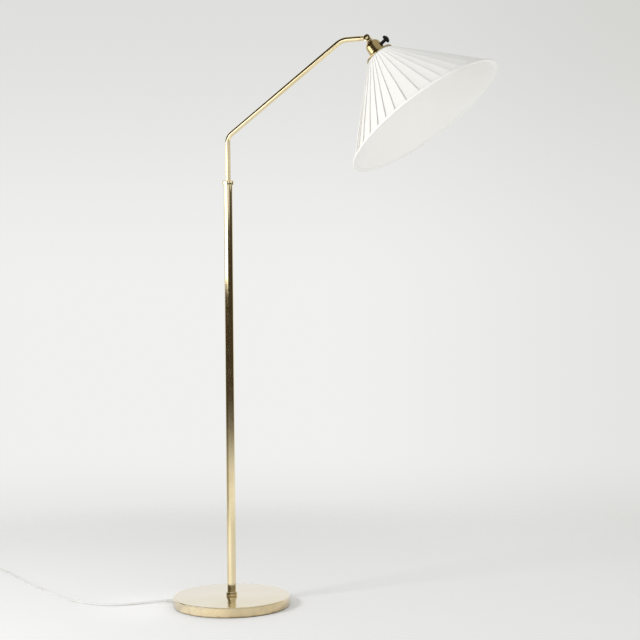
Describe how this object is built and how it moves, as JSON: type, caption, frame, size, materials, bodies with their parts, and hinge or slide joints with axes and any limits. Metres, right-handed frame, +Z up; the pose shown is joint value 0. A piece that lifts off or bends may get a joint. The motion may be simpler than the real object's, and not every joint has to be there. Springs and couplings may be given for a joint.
{
  "type": "floor lamp",
  "caption": "Bridge floor lamp: round weighted base, telescopic brass pole, bent swivel arm and a pleated cone shade that tilts on a knuckle.",
  "frame": {"origin": "centre of the base's underside, on the floor, on the pole's axis", "axes": "+Z up along the pole; +X the way the arm reaches at rest; +Y along the hinge of the shade's knuckle"},
  "size_m": [1.6022, 0.4983, 1.396],
  "materials": {
    "brass": "polished and lacquered",
    "raw_brass": "turned, unlacquered",
    "bell_brass": "polished, darkened by the lamp's warmth",
    "iron": "rough casting, painted",
    "steel": "zinc plated",
    "frame_wire": "white lacquered wire",
    "nickel": "nickel plated",
    "felt": "pressed felt",
    "shade_cloth": "fine plain weave, pleated",
    "lining_cloth": "smooth laminated cloth",
    "binding_cloth": "narrow woven tape",
    "bakelite": "moulded thermoset",
    "nylon": "turned nylon",
    "fibre": "vulcanised fibre",
    "opal_glass": "opal coated inside",
    "white_plastic": "moulded soft plastic",
    "white_cord": "extruded soft plastic",
    "lead_plastic": "extruded soft plastic"
  },
  "bodies": {
    "stand": {"base_felt": "felt", "base_weight": "iron", "base_cover": "brass", "base_washer": "steel", "base_nut": "steel", "stem_nipple": "steel", "foot_ring": "brass", "pole_tube": "brass", "foot_plug": "raw_brass", "collet": "raw_brass", "cord_bush": "white_plastic", "base_lead": "lead_plastic", "pole_lead": "lead_plastic", "mains_cord": "white_cord", "cord_coil": "white_cord", "plug_lead": "white_cord", "plug_body": "white_plastic", "plug_pins": "nickel"},
    "clamp": {"clamp_ring": "brass"},
    "slider": {"guide_bush": "nylon"},
    "arm": {"arm_tube": "brass", "guide_rings": "steel", "arm_ferrule": "brass", "arm_knuckle": "brass", "arm_lead": "lead_plastic"},
    "head": {"head_knuckle": "brass", "friction_washer": "fibre", "knuckle_screw": "brass", "knuckle_nut": "brass", "bell": "bell_brass", "bell_nut": "steel", "shade_brim": "bell_brass", "shade_ring": "bakelite", "shade_frame": "frame_wire", "shade_lining": "lining_cloth", "shade_cover": "shade_cloth", "rim_binding": "binding_cloth", "lampholder_cap": "bakelite", "lampholder_skirt": "bakelite", "screw_shell": "raw_brass", "centre_contact": "raw_brass", "bulb_cap": "nickel", "bulb_glass": "opal_glass", "head_lead": "lead_plastic"},
    "knob": {"switch_knob": "bakelite", "switch_spindle": "raw_brass"}
  },
  "joints": [
    {"name": "clamp_turn", "type": "hinge", "parent": "stand", "child": "clamp", "pos_m": [0, 0, 1.048], "axis": [0, 0, 1], "range_deg": [0, 120]},
    {"name": "telescope", "type": "slide", "parent": "stand", "child": "slider", "axis": [0, 0, 1], "range_m": [-0.09, 0.25], "deforming": ["pole_lead"]},
    {"name": "arm_swivel", "type": "hinge", "parent": "slider", "child": "arm", "pos_m": [0, 0, 1.048], "axis": [0, 0, 1], "range_deg": [-180, 180]},
    {"name": "shade_tilt", "type": "hinge", "parent": "arm", "child": "head", "pos_m": [0.3645, 0, 1.388], "axis": [0, 1, 0], "range_deg": [-75, 40]},
    {"name": "knob_turn", "type": "hinge", "parent": "head", "child": "knob", "pos_m": [0.4, 0, 1.37274], "axis": [0.7501, 0, 0.6613], "continuous": true}
  ]
}
